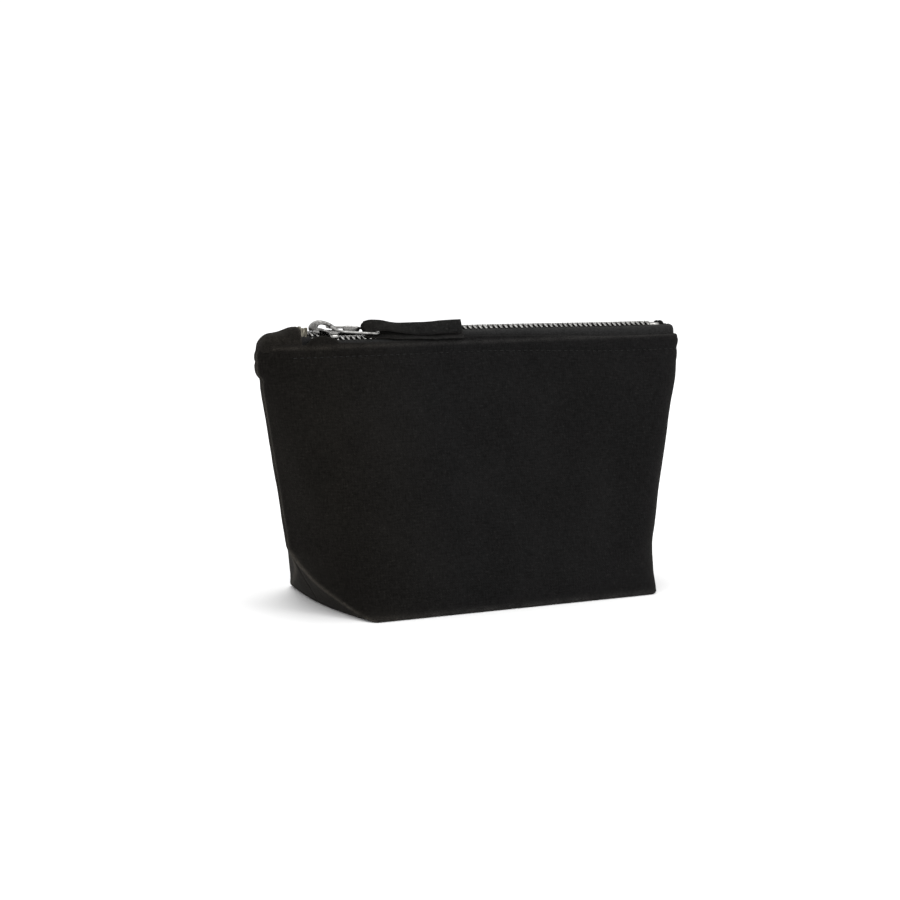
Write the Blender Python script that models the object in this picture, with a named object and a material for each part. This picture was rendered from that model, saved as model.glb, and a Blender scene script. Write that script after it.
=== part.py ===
"""Shaving kit bag: a black canvas pouch with a boxed base and a metal zip along its straight top.

Metres, +Z up. The origin is the middle of the base where it stands on the floor. +X runs along the zip
towards its closed end, and -Y is the front. The zip is shut, with its slider at the -X end and the
pull lying along the zip.

The cloth is cut where the real one hinges on itself: the front and back panels open the mouth by
turning about the front and back edges of the base.
"""

import math

import bmesh
import bpy

# ---------------------------------------------------------------- driving dimensions
TOP_WIDTH = 0.205          # side seam to side seam along the zip
BASE_WIDTH = 0.135
BASE_DEPTH = 0.085
CANVAS_TOP = 0.1093        # height of the folded top edges
TOP_DEPTH = 0.0154         # across both folded edges
SIDE_FOLD_HEIGHT = 0.025   # where the two creases of a boxed corner meet on the side seam
SIDE_FOLD_HALF_WIDTH = 0.0876
BELLY = 0.0015             # how far the middle of a panel stands out of its flat plane

CANVAS = 0.0009            # cloth thickness, measured level
TAPE = 0.0005              # zip tape thickness
GAP = 0.0003               # clearance between pieces that touch

TOOTH_PITCH = 0.0025
TOOTH_WIDTH = 0.0009
TOOTH_HEIGHT = 0.0019
TOOTH_LEG = 0.0030         # from the zip's middle line out over the tape
TOOTH_TIP = 0.0008         # how far a tooth reaches past the middle line
TOOTH_TOP = 0.11395        # top of the teeth on the middle line
CHAIN_SLOPE = 0.13         # each row of teeth falls away from the middle line
FIRST_TOOTH_X = -0.0786
TOOTH_COUNT = 65           # teeth in one row

SLIDER_X = -0.0718         # middle of the slider with the zip shut
SLIDER_LENGTH = 0.0118
SLIDER_WIDE = 0.0060       # half width at the end where the rows part
SLIDER_NARROW = 0.0044     # half width at the end where the rows are joined
ROW_SPREAD = 0.0020        # how far each row moves aside at the slider's post

PIVOT_X, PIVOT_Z = -0.0690, 0.1169      # hinge of the pull ring under the slider's bridge
RING_END_X, RING_END_Z = -0.0470, 0.1160  # hinge of the fabric tab on the ring's far bar
RING_HALF_WIDTH = 0.0035
RING_WIRE = 0.0006         # radius of the ring's wire

TAB_END_X = -0.0080
TAB_WIDTH = 0.0085
TAB_LAYER = 0.0008
TAB_TILT = math.radians(30)

# ---------------------------------------------------------------- places worked out from them
PANEL_FOOT = CANVAS + GAP               # the panels start just above the base cloth
HALF_TOP = TOP_DEPTH / 2
SIDE_STEPS = 10
CORNER_RADIUS = 0.005
CORNER_LAP = 0.007                      # the side cloth turns the corner and runs on this far
HEM_BOTTOM = 0.0990
HEM_REACH = TOP_WIDTH / 2 - 0.0160      # half length of a hem, clear of the wrapped corners
TOP_STOP_X = (-0.0837, -0.0797)
BOTTOM_STOP_X = (0.0836, 0.0925)
TAPE_BOTTOM = 0.0975
TAPE_STATIONS = ((-0.0900, TAPE_BOTTOM), (0.0915, TAPE_BOTTOM), (0.0965, 0.1072))  # x, lower edge


def mix(a, b, t):
    return a + (b - a) * t


# ---------------------------------------------------------------- Blender helpers
def clear_scene():
    for obj in list(bpy.data.objects):
        bpy.data.objects.remove(obj, do_unlink=True)


def make_material(name, colour, roughness, metallic=0.0):
    material = bpy.data.materials.new(name)
    material.use_nodes = True
    shader = material.node_tree.nodes["Principled BSDF"]
    shader.inputs["Base Color"].default_value = (*colour, 1)
    shader.inputs["Roughness"].default_value = roughness
    shader.inputs["Metallic"].default_value = metallic
    return material


def add_object(name, mesh, material, origin=(0, 0, 0)):
    """Link a mesh whose points are in world space, and put the object's origin where asked."""
    for vertex in mesh.vertices:
        vertex.co = [vertex.co[i] - origin[i] for i in range(3)]
    obj = bpy.data.objects.new(name, mesh)
    obj.location = origin
    mesh.materials.clear()
    mesh.materials.append(material)
    bpy.context.scene.collection.objects.link(obj)
    return obj


def loft(rings, closed=False):
    """One closed body through rings of points, capped at both ends unless it closes on itself."""
    mesh = bpy.data.meshes.new("loft")
    bm = bmesh.new()
    loops = [[bm.verts.new(point) for point in ring] for ring in rings]
    count = len(rings[0])
    pairs = list(zip(loops, loops[1:]))
    if closed:
        pairs.append((loops[-1], loops[0]))
    else:
        bm.faces.new(loops[0])
        bm.faces.new(loops[-1])
    for near, far in pairs:
        for i in range(count):
            j = (i + 1) % count
            bm.faces.new((near[i], near[j], far[j], far[i]))
    bmesh.ops.recalc_face_normals(bm, faces=bm.faces)
    bm.to_mesh(mesh)
    bm.free()
    return mesh


def offset_line(line, distance):
    """Move a 2-D polyline to its left by a distance, with mitred corners."""
    result = []
    last = len(line) - 1
    for i, (x, y) in enumerate(line):
        before = line[max(i - 1, 0)]
        after = line[min(i + 1, last)]
        steps = []
        for a, b in ((before, (x, y)), ((x, y), after)):
            length = math.hypot(b[0] - a[0], b[1] - a[1])
            if length > 1e-9:
                steps.append(((b[0] - a[0]) / length, (b[1] - a[1]) / length))
        nx = -sum(s[1] for s in steps) / len(steps)
        ny = sum(s[0] for s in steps) / len(steps)
        scale = distance / (nx * nx + ny * ny)
        result.append((x + nx * scale, y + ny * scale))
    return result


def strip_ring(line, thickness):
    """The closed outline of a strip of even thickness on the left of a polyline."""
    return list(line) + offset_line(line, thickness)[::-1]


def along_x(outline, x_range):
    """Extrude an outline of (y, z) points along X."""
    return loft([[(x, y, z) for y, z in outline] for x in x_range])


def along_z(outline, bottom, top):
    """Extrude an outline of (x, y) points upward."""
    return loft([[(x, y, z) for x, y in outline] for z in (bottom, top)])


def flip_y(points):
    return [(x, -y) for x, y in points]


# ---------------------------------------------------------------- the bag's outer form
def corner_x(z):
    """Half width of the flat front at a height."""
    return mix(BASE_WIDTH / 2, TOP_WIDTH / 2 - 0.004, z / CANVAS_TOP)


def corner_y(z):
    """Half depth of the bag at a height."""
    return mix(BASE_DEPTH / 2, HALF_TOP, z / CANVAS_TOP)


def seam_x(z):
    """Half width at the side seam, which folds outward above the boxed corner."""
    if z < SIDE_FOLD_HEIGHT:
        return mix(BASE_WIDTH / 2, SIDE_FOLD_HALF_WIDTH, z / SIDE_FOLD_HEIGHT)
    t = (z - SIDE_FOLD_HEIGHT) / (CANVAS_TOP - SIDE_FOLD_HEIGHT)
    return mix(SIDE_FOLD_HALF_WIDTH, TOP_WIDTH / 2, t)


def crease_y(z):
    """Half depth of the boxed corner's flat triangle at a height."""
    return BASE_DEPTH / 2 * max(0.0, 1 - z / SIDE_FOLD_HEIGHT)


def panel_line(z, points=9):
    """The front panel's outer line at a height, left to right, between the wrapped corners."""
    reach = corner_x(z) - CORNER_LAP - GAP
    swell = BELLY * math.sin(math.pi * min(1, z / CANVAS_TOP))
    line = []
    for i in range(points):
        u = mix(-1, 1, i / (points - 1))
        line.append((u * reach, -corner_y(z) - swell * (1 - u * u)))
    return line


def side_line(z):
    """The front right cloth's outer line at a height, from beside the panel round to the seam."""
    cx, cy = corner_x(z), corner_y(z)
    sx, crease = seam_x(z), crease_y(z)
    away = math.hypot(sx - cx, cy - crease)
    radius = min(CORNER_RADIUS, 0.45 * away)
    ux, uy = (sx - cx) / away, (cy - crease) / away
    start = (cx - radius, -cy)
    finish = (cx + ux * radius, -cy + uy * radius)
    line = [(cx - CORNER_LAP, -cy), start]
    for t in (0.25, 0.5, 0.75):
        line.append((
            start[0] * (1 - t) ** 2 + cx * 2 * t * (1 - t) + finish[0] * t * t,
            start[1] * (1 - t) ** 2 - cy * 2 * t * (1 - t) + finish[1] * t * t,
        ))
    line.append(finish)
    near_seam = GAP / 2
    line.append((sx, -max(crease, near_seam * 3)))
    line.append((sx, -near_seam))
    return line


def heights(steps, bottom=PANEL_FOOT, top=CANVAS_TOP):
    return [mix(bottom, top, i / steps) for i in range(steps + 1)]


def canvas_patch(line_at, levels, mirror_x=1, mirror_y=1):
    """A patch of cloth from its outer line at each height."""
    rings = []
    for z in levels:
        ring = strip_ring(line_at(z), CANVAS)
        rings.append([(x * mirror_x, y * mirror_y, z) for x, y in ring])
    return loft(rings)


# ---------------------------------------------------------------- cloth
def build_cloth(canvas, binding):
    side_levels = [PANEL_FOOT, 0.008, 0.016] + heights(SIDE_STEPS, SIDE_FOLD_HEIGHT)
    for front, sign in (("front", 1), ("back", -1)):
        hinge = (0, -sign * corner_y(PANEL_FOOT), PANEL_FOOT)
        mesh = canvas_patch(panel_line, heights(8), mirror_y=sign)
        add_object(f"{front}_panel", mesh, canvas, hinge)
        for side, mirror in (("left", -1), ("right", 1)):
            mesh = canvas_patch(side_line, side_levels, mirror, sign)
            add_object(f"{side}_side_{front}", mesh, canvas)
        half = BASE_DEPTH / 2
        outline = rounded_base_half(half, sign)
        add_object(f"base_{front}", along_z(outline, 0, CANVAS), canvas)
        hem = hem_outline(CANVAS + GAP, CANVAS, HEM_BOTTOM, CANVAS_TOP - GAP)
        mesh = along_x([(y * sign, z) for y, z in hem], (-HEM_REACH, HEM_REACH))
        add_object(f"{front}_hem", mesh, canvas, hinge)
    build_bindings(binding)


def rounded_base_half(half, sign, radius=0.004):
    """Half of the base, from the bottom seam to one long edge, with rounded corners."""
    wide = BASE_WIDTH / 2
    outline = [(-wide, -GAP / 2), (wide, -GAP / 2)]
    for centre_x, first in ((wide - radius, 0), (-(wide - radius), -90)):
        for step in range(4):
            angle = math.radians(first - 30 * step)
            x = centre_x + radius * math.cos(angle)
            y = -(half - radius) + radius * math.sin(angle)
            outline.append((x, y))
    return [(x, y * sign) for x, y in outline]


def front_plane_y(z):
    """The front panel's outer face near the top, where it is flat."""
    return -corner_y(z)


def hem_outline(inward, thickness, bottom, top):
    """A layer of cloth behind the front panel, as (y, z) points."""
    far = inward + thickness
    return [
        (front_plane_y(bottom) + inward, bottom),
        (front_plane_y(top) + inward, top),
        (front_plane_y(top) + far, top),
        (front_plane_y(bottom) + far, bottom),
    ]


def build_bindings(binding):
    """The bound seam allowances inside the bag."""
    thick = 0.0018
    wide = 0.0080
    floor = CANVAS + GAP
    for side, sign in (("left", -1), ("right", 1)):
        outer = []
        for z in (0.0065, SIDE_FOLD_HEIGHT, 0.0960):
            outer.append((sign * (seam_x(z) - 0.0030), z))
        inner = [(x - sign * wide, z) for x, z in outer]
        ring = outer + inner[::-1]
        mesh = loft([[(x, y, z) for x, z in ring] for y in (-thick / 2, thick / 2)])
        add_object(f"{side}_seam_binding", mesh, binding)
        near = sign * (BASE_WIDTH / 2 - 0.0022)
        far = near - sign * wide
        reach = BASE_DEPTH / 2 - 0.0060
        outline = [(near, -reach), (near, reach), (far, reach), (far, -reach)]
        add_object(f"{side}_corner_binding", along_z(outline, floor, floor + thick), binding)
    reach = BASE_WIDTH / 2 - 0.0022 - wide - GAP * 2
    outline = [(-reach, GAP), (reach, GAP), (reach, wide), (-reach, wide)]
    add_object("bottom_seam_binding", along_z(outline, floor, floor + thick), binding)


# ---------------------------------------------------------------- zip
def tape_z(y):
    """Height of the tape's middle where it lies under the teeth."""
    return 0.11152 - CHAIN_SLOPE * abs(y)


def tape_outline(bottom):
    """The front tape's section as (y, z) points: out under the teeth, then down inside the hem."""
    inward = 2 * (CANVAS + GAP)
    line = [
        (-0.0013, tape_z(0.0013)),
        (-0.0046, tape_z(0.0046)),
        (front_plane_y(CANVAS_TOP) + inward + TAPE / 2, CANVAS_TOP),
        (front_plane_y(bottom) + inward + TAPE / 2, bottom),
    ]
    outer = offset_line(line, TAPE / 2)
    inner = offset_line(line, -TAPE / 2)
    return outer + inner[::-1]


def spread(x):
    """How far a row moves aside at x: apart from the slider's open end outward, joined behind it."""
    start, end = SLIDER_X - 0.0010, SLIDER_X + 0.0045
    t = min(1, max(0, (end - x) / (end - start)))
    return ROW_SPREAD * t * t * (3 - 2 * t)


def tooth_row_outline(shift):
    """A row of teeth on its cord, seen from above, with tips towards +Y."""
    tips, legs = [], []
    cord_in, cord_out = -0.0013, -0.0023
    for i in range(TOOTH_COUNT):
        x = FIRST_TOOTH_X + i * TOOTH_PITCH + shift
        left, right = x - TOOTH_WIDTH / 2, x + TOOTH_WIDTH / 2
        aside = spread(x)
        tips += [(left, cord_in - aside), (left, TOOTH_TIP - aside)]
        tips += [(right, TOOTH_TIP - aside), (right, cord_in - aside)]
        legs += [(left, cord_out - aside), (left, -TOOTH_LEG - aside)]
        legs += [(right, -TOOTH_LEG - aside), (right, cord_out - aside)]
    return tips + legs[::-1]


def build_teeth(metal):
    for front, sign, shift in (("front", 1, 0), ("back", -1, TOOTH_PITCH / 2)):
        outline = tooth_row_outline(shift)
        rings = []
        for lift in (-TOOTH_HEIGHT, 0):
            rings.append([(x, y * sign, TOOTH_TOP + lift + CHAIN_SLOPE * y) for x, y in outline])
        hinge = (0, -sign * corner_y(PANEL_FOOT), PANEL_FOOT)
        add_object(f"{front}_teeth", loft(rings), metal, hinge)


def build_tapes(tape):
    for front, sign in (("front", 1), ("back", -1)):
        hinge = (0, -sign * corner_y(PANEL_FOOT), PANEL_FOOT)
        rings = []
        for x, bottom in TAPE_STATIONS:
            rings.append([(x, y * sign, z) for y, z in tape_outline(bottom)])
        add_object(f"{front}_tape", loft(rings), tape, hinge)


def build_stops(metal):
    """Each top stop is a clip folded round one tape's edge; the bottom stop holds both rows."""
    under = 0.1100
    low, high = 0.1107, 0.1124
    for front, sign in (("front", 1), ("back", -1)):
        outline = [
            (-0.0003, under), (-0.0003, 0.1141), (-0.0032, 0.1137), (-0.0032, high - 0.0004),
            (-0.0010, high), (-0.0010, low + 0.0001), (-0.0032, low - 0.0003), (-0.0032, under),
        ]
        mesh = along_x([(y * sign, z) for y, z in outline], TOP_STOP_X)
        add_object(f"{front}_top_stop", mesh, metal)
    quarter = [(0.0010, high), (0.0034, high - 0.0004), (0.0034, 0.1137), (0.0008, 0.1141), (0.0004, 0.1136)]
    lower = [(0.0034, under), (0.0034, low - 0.0003), (0.0010, low + 0.0001)]
    half = lower + quarter
    outline = half + [(-y, z) for y, z in half[::-1]]
    add_object("bottom_stop", along_x(outline, BOTTOM_STOP_X), metal)


def build_end_tab(canvas):
    """The folded patch that covers the cut end of the zip at the slider's end."""
    rings = []
    for x, drop in ((-0.1010, 0.0034), (-0.0955, 0.0012), (-0.0856, 0.0)):
        line = [
            (0.0064, 0.1098), (0.0056, 0.1133 - drop * 0.6), (0.0020, 0.1164 - drop),
            (-0.0020, 0.1164 - drop), (-0.0056, 0.1133 - drop * 0.6), (-0.0064, 0.1098),
        ]
        rings.append([(x, y, z) for y, z in strip_ring(line, CANVAS)])
    add_object("zip_end_tab", loft(rings), canvas)


def join_solid(target, others):
    """Join more solids onto a target with exact Boolean unions."""
    for other in others:
        modifier = target.modifiers.new("join", "BOOLEAN")
        modifier.operation = "UNION"
        modifier.solver = "EXACT"
        modifier.object = other
        other.hide_render = True
        other.display_type = "WIRE"


def slider_plan():
    """The slider's outline from above: wide where the rows part, narrow where they are joined."""
    left, right = SLIDER_X - SLIDER_LENGTH / 2, SLIDER_X + SLIDER_LENGTH / 2
    upper = [
        (left, 0.0018),
        (left + 0.0030, SLIDER_WIDE),
        (SLIDER_X, SLIDER_WIDE),
        (SLIDER_X + 0.0040, SLIDER_NARROW),
        (right - 0.0008, SLIDER_NARROW),
        (right, SLIDER_NARROW - 0.0008),
    ]
    return upper + flip_y(upper[::-1])


def build_slider(metal):
    plate_low, plate_high = 0.1144, 0.1154
    under_low, under_high = 0.1095, 0.1104
    origin = (SLIDER_X, 0, 0.1130)
    body = add_object("slider_body", along_z(slider_plan(), plate_low, plate_high), metal, origin)
    left, right = SLIDER_X - SLIDER_LENGTH / 2, SLIDER_X + SLIDER_LENGTH / 2
    half = 0.0041
    lower = [(left, -0.0012), (left + 0.0020, -half), (right - 0.0005, -half),
             (right - 0.0005, half), (left + 0.0020, half), (left, 0.0012)]
    plate = add_object("guide_lower_plate", along_z(lower, under_low, under_high), metal)
    post_left = left + 0.0010
    post = [(post_left, -0.0008), (post_left + 0.0020, -0.0008), (post_left + 0.0036, 0),
            (post_left + 0.0020, 0.0008), (post_left, 0.0008)]
    post = add_object("guide_post", along_z(post, under_low + 0.0004, plate_high - 0.0004), metal)
    flanges = []
    wall = 0.0006
    for name, sign in (("front", 1), ("back", -1)):
        line = [(left + 0.0030, -SLIDER_WIDE + wall), (SLIDER_X, -SLIDER_WIDE + wall),
                (SLIDER_X + 0.0040, -SLIDER_NARROW + wall), (right - 0.0008, -SLIDER_NARROW + wall)]
        outer = [(x, y - wall + 0.0001) for x, y in line]
        outline = [(x, y * sign) for x, y in line + outer[::-1]]
        flanges.append(add_object(f"guide_{name}_flange", along_z(outline, 0.1124, plate_high - 0.0004), metal))
    join_solid(body, [plate, post] + flanges)

    arch = [(left + 0.0006, plate_high + GAP), (left + 0.0012, 0.1174), (left + 0.0028, 0.1189),
            (SLIDER_X - 0.0002, 0.1193), (right - 0.0030, 0.1187), (right - 0.0012, 0.1174),
            (right - 0.0006, plate_high + GAP)]
    outline = strip_ring(arch, -0.0008)
    mesh = loft([[(x, y, z) for x, z in outline] for y in (-0.0013, 0.0013)])
    add_object("slider_bridge", mesh, metal, origin)


def tube_ring(corners, radius, sides=8):
    """A closed wire loop through corner points in the plane of the ring, swept with a round section."""
    rings = []
    count = len(corners)
    for i, point in enumerate(corners):
        before, after = corners[i - 1], corners[(i + 1) % count]
        forward = [after[k] - before[k] for k in range(3)]
        length = math.sqrt(sum(c * c for c in forward))
        forward = [c / length for c in forward]
        slope = math.atan2(RING_END_Z - PIVOT_Z, RING_END_X - PIVOT_X)
        up = (-math.sin(slope), 0, math.cos(slope))
        across = [forward[1] * up[2] - forward[2] * up[1],
                  forward[2] * up[0] - forward[0] * up[2],
                  forward[0] * up[1] - forward[1] * up[0]]
        ring = []
        for s in range(sides):
            angle = 2 * math.pi * (s + 0.5) / sides
            c, n = radius * math.cos(angle), radius * math.sin(angle)
            ring.append(tuple(point[k] + across[k] * c + up[k] * n for k in range(3)))
        rings.append(ring)
    return loft(rings, closed=True)


def build_pull_ring(metal):
    round_off = 0.0014
    corners = []
    for sx, sy, first in ((1, -1, -90), (1, 1, 0), (-1, 1, 90), (-1, -1, 180)):
        middle = (PIVOT_X + RING_END_X) / 2
        half_length = (RING_END_X - PIVOT_X) / 2
        cx = middle + sx * (half_length - round_off)
        cy = sy * (RING_HALF_WIDTH - round_off)
        for step in range(4):
            angle = math.radians(first + 30 * step)
            x = cx + round_off * math.cos(angle)
            y = cy + round_off * math.sin(angle)
            z = mix(PIVOT_Z, RING_END_Z, (x - PIVOT_X) / (RING_END_X - PIVOT_X))
            corners.append((x, y, z))
    add_object("pull_ring", tube_ring(corners, RING_WIRE), metal, (PIVOT_X, 0, PIVOT_Z))


def tab_section(x, z, y, normal, width, tilt):
    """A rectangle across one layer of the tab. normal is the layer's outward direction in XZ."""
    across = (0, math.cos(tilt), math.sin(tilt))
    out = (normal[0], -math.sin(tilt) * normal[1], math.cos(tilt) * normal[1])
    ring = []
    for a, o in ((-1, -1), (1, -1), (1, 1), (-1, 1)):
        ring.append(tuple(
            (x, y, z)[k] + across[k] * a * width / 2 + out[k] * o * TAB_LAYER / 2 for k in range(3)
        ))
    return ring


def build_pull_tab(canvas):
    """A strip of canvas folded round the ring's far bar, its two layers lying on each other."""
    loop = RING_WIRE + GAP + TAB_LAYER / 2
    apart = GAP / 2 + TAB_LAYER / 2
    narrow = 2 * (RING_HALF_WIDTH - RING_WIRE - GAP)
    rest_y, rest_z = -0.0024, 0.1156
    stations = []
    for i in range(5):
        t = i / 4
        stations.append((mix(TAB_END_X, -0.0375, t), rest_y, rest_z, TAB_TILT, TAB_WIDTH, apart))
    stations.append((-0.0405, rest_y * 0.6, mix(rest_z, RING_END_Z, 0.4), TAB_TILT * 0.6, TAB_WIDTH * 0.9, apart))
    stations.append((-0.0435, rest_y * 0.15, RING_END_Z, TAB_TILT * 0.15, 0.0066, 0.0008))
    stations.append((-0.0455, 0, RING_END_Z, 0, narrow, 0.0012))
    rings = []
    for x, y, z, tilt, width, offset in stations:
        low_y, low_z = y + math.sin(tilt) * offset, z - math.cos(tilt) * offset
        rings.append(tab_section(x, low_z, low_y, (0, -1), width, tilt))
    for step in range(7):
        angle = math.radians(-90 - 30 * step)
        normal = (math.cos(angle), math.sin(angle))
        x, z = RING_END_X + loop * normal[0], RING_END_Z + loop * normal[1]
        rings.append(tab_section(x, z, 0, normal, narrow, 0))
    for x, y, z, tilt, width, offset in stations[::-1]:
        top_y, top_z = y - math.sin(tilt) * offset, z + math.cos(tilt) * offset
        rings.append(tab_section(x, top_z, top_y, (0, 1), width, tilt))
    add_object("pull_tab", loft(rings), canvas, (RING_END_X, 0, RING_END_Z))


# ---------------------------------------------------------------- assembly
def main():
    clear_scene()
    canvas = make_material("black_canvas", (0.012, 0.011, 0.010), 0.9)
    binding = make_material("seam_binding", (0.010, 0.010, 0.010), 0.85)
    tape = make_material("zip_tape", (0.020, 0.020, 0.020), 0.85)
    nickel = make_material("antique_nickel", (0.55, 0.54, 0.52), 0.32, 1.0)
    build_cloth(canvas, binding)
    build_tapes(tape)
    build_teeth(nickel)
    build_stops(nickel)
    build_end_tab(canvas)
    build_slider(nickel)
    build_pull_ring(nickel)
    build_pull_tab(canvas)


main()
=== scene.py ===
"""Looks of the shaving kit bag: a black canvas pouch with a boxed base and a metal zip.

Metres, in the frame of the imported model. The canvas is two sheets, one for each half of the bag, sewn
together along the side seams and under the base. Each sheet starts as the hem inside the mouth, folds over
at the top edge, runs down the wall and turns under the base. The front of the bag faces -Y.
"""

import math

import bmesh
import bpy
import numpy as np
from mathutils import Matrix, Vector, noise


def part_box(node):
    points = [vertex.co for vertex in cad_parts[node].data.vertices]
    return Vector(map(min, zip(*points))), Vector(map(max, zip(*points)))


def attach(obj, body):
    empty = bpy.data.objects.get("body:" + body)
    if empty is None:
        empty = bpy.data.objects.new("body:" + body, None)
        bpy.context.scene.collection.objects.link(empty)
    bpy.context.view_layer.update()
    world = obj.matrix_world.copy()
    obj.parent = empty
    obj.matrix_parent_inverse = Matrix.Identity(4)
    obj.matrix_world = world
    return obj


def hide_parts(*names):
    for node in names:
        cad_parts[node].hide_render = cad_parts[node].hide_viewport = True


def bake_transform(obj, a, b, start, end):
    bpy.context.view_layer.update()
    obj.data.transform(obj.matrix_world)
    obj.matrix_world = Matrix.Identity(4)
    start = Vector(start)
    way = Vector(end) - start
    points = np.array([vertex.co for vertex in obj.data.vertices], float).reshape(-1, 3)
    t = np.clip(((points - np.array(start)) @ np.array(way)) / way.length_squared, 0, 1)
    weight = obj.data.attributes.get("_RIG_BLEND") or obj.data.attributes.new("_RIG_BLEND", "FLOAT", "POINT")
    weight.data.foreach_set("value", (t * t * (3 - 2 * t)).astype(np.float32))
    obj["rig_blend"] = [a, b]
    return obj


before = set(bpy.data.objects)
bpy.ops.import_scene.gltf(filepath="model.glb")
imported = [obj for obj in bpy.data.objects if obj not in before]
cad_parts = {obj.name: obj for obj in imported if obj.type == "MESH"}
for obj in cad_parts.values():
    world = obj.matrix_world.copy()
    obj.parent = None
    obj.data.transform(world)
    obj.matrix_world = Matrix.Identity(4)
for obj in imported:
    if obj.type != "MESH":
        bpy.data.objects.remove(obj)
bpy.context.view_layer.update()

MM = 0.001


# ---------------------------------------------------------------- sizes taken from the frame
base_low, base_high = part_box("base_front")
body_low, body_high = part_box("slider_body")
ring_low, ring_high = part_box("pull_ring")
wall_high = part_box("right_side_front")[1]
TOP_HALF = wall_high[0]                # side seam to the middle, along the zip
CANVAS_TOP = wall_high[2]              # height of the folded top edges
BASE_HALF = base_high[0]
BASE_HALF_DEPTH = -base_low[1]
HALF_TOP = 7.7 * MM                    # half the depth across both folded edges
SIDE_FOLD_HEIGHT = 25 * MM             # where the creases of a boxed corner meet on the side seam
SIDE_FOLD_HALF = 87.6 * MM
CLOTH = 0.9 * MM                       # thickness of the canvas
SEAM_GAP = 0.02 * MM                   # each sheet stops this far from the middle plane
BELLY = 1.5 * MM                       # how far the middle of a wall stands out
END_SAG = 5.0 * MM                     # the ends of the base bulge out on the floor
HEM_OFFSET = 2.1 * MM                  # outer face of the wall to the face of the turned-in hem
HEM_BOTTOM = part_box("front_hem")[0][2]
STITCH_DROP = 6.3 * MM                 # the row of topstitching below the folded edge
STITCH_PITCH = 2.9 * MM


# ---------------------------------------------------------------- small helpers
def mix(a, b, t):
    return a + (b - a) * t


def smooth(a, b, x):
    """0 below a, 1 above b, and a soft step between them."""
    t = np.clip((np.asarray(x, float) - a) / (b - a), 0, 1)
    return t * t * (3 - 2 * t)


def bump(x, centre, width):
    return np.exp(-(((np.asarray(x, float) - centre) / width) ** 2))


def bumps(shapes_mm, x):
    """A sum of soft bumps, each given as its place, width and height in millimetres."""
    return sum(height * MM * bump(x, place * MM, width * MM) for place, width, height in shapes_mm)


def profile(knots_mm, x):
    """A value that eases from one (place, value) pair to the next, both in millimetres."""
    places, values = np.array(knots_mm).T * MM
    result = np.full(np.shape(x), values[0])
    for i in range(len(places) - 1):
        result = result + (values[i + 1] - values[i]) * smooth(places[i], places[i + 1], x)
    return result


def noise_at(points, size, seed):
    """Smooth noise from -1 to 1 at each point, with features of the given size."""
    shift = Vector((seed * 17.3, seed * 5.1, seed * 9.7))
    flat = np.asarray(points).reshape(-1, 3)
    values = [noise.noise(Vector(p) / size + shift) for p in flat]
    return np.array(values).reshape(np.asarray(points).shape[:-1])


CURVE_STEPS = 12                       # points on a curve between two given ones, before they are evened out


def curve_through(points, count, closed=False):
    """Points evenly spread along a smooth curve through the given ones."""
    points = np.asarray(points, float)
    size = len(points)
    spans = size if closed else size - 1
    dense = []
    for i in range(spans):
        p0 = points[(i - 1) % size] if closed or i > 0 else 2 * points[0] - points[1]
        p1, p2 = points[i], points[(i + 1) % size]
        p3 = points[(i + 2) % size] if closed or i + 2 < size else 2 * points[-1] - points[-2]
        for t in np.arange(CURVE_STEPS) / CURVE_STEPS:
            dense.append(0.5 * (2 * p1 + (p2 - p0) * t + (2 * p0 - 5 * p1 + 4 * p2 - p3) * t * t
                                + (3 * p1 - p0 - 3 * p2 + p3) * t ** 3))
    dense.append(points[0] if closed else points[-1])
    dense = np.array(dense)
    return resample(dense, count + 1)[:-1] if closed else resample(dense, count)


def resample(line, count):
    """The same line, as a number of evenly spaced points."""
    steps = np.linalg.norm(np.diff(line, axis=0), axis=1)
    along = np.concatenate(([0], np.cumsum(steps)))
    wanted = np.linspace(0, along[-1], count)
    return np.stack([np.interp(wanted, along, line[:, k]) for k in range(line.shape[1])], axis=1)


def add_piece(name, points, faces, material, body=None):
    mesh = bpy.data.meshes.new(name)
    mesh.from_pydata([tuple(p) for p in np.asarray(points).reshape(-1, 3)], [], faces)
    mesh.materials.append(material)
    mesh.validate()
    mesh.shade_smooth()
    piece = bpy.data.objects.new(name, mesh)
    bpy.context.scene.collection.objects.link(piece)
    if body:
        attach(piece, body)
    return piece


def tidy_normals(piece):
    """Turn every face of a closed piece outward."""
    bm = bmesh.new()
    bm.from_mesh(piece.data)
    bmesh.ops.recalc_face_normals(bm, faces=bm.faces)
    bm.to_mesh(piece.data)
    bm.free()


def add_modifier(piece, kind, **settings):
    modifier = piece.modifiers.new(kind.lower(), kind)
    for key, value in settings.items():
        setattr(modifier, key, value)
    return modifier


def round_edges(piece, width, angle=35):
    add_modifier(piece, "BEVEL", width=width, segments=2, limit_method="ANGLE",
                 angle_limit=math.radians(angle), harden_normals=True)


def loft_faces(rings, count, closed=False):
    """Faces that join rings of points, capped at both ends unless the rings close on themselves."""
    faces = []
    for r in range(rings if closed else rings - 1):
        near, far = r * count, ((r + 1) % rings) * count
        for i in range(count):
            j = (i + 1) % count
            faces.append((near + i, near + j, far + j, far + i))
    if not closed:
        faces.append(tuple(range(count))[::-1])
        faces.append(tuple(range((rings - 1) * count, rings * count)))
    return faces


def loft(rings, closed=False):
    """Points and faces of a skin over rings."""
    return np.concatenate(rings), loft_faces(len(rings), len(rings[0]), closed)


def at_x(ring, x):
    """A ring of (y, z) points put across the zip."""
    return np.column_stack([np.full(len(ring), x), ring])


def at_z(ring, z):
    """A level ring of (x, y) points."""
    return np.column_stack([ring, np.full(len(ring), z)])


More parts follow.
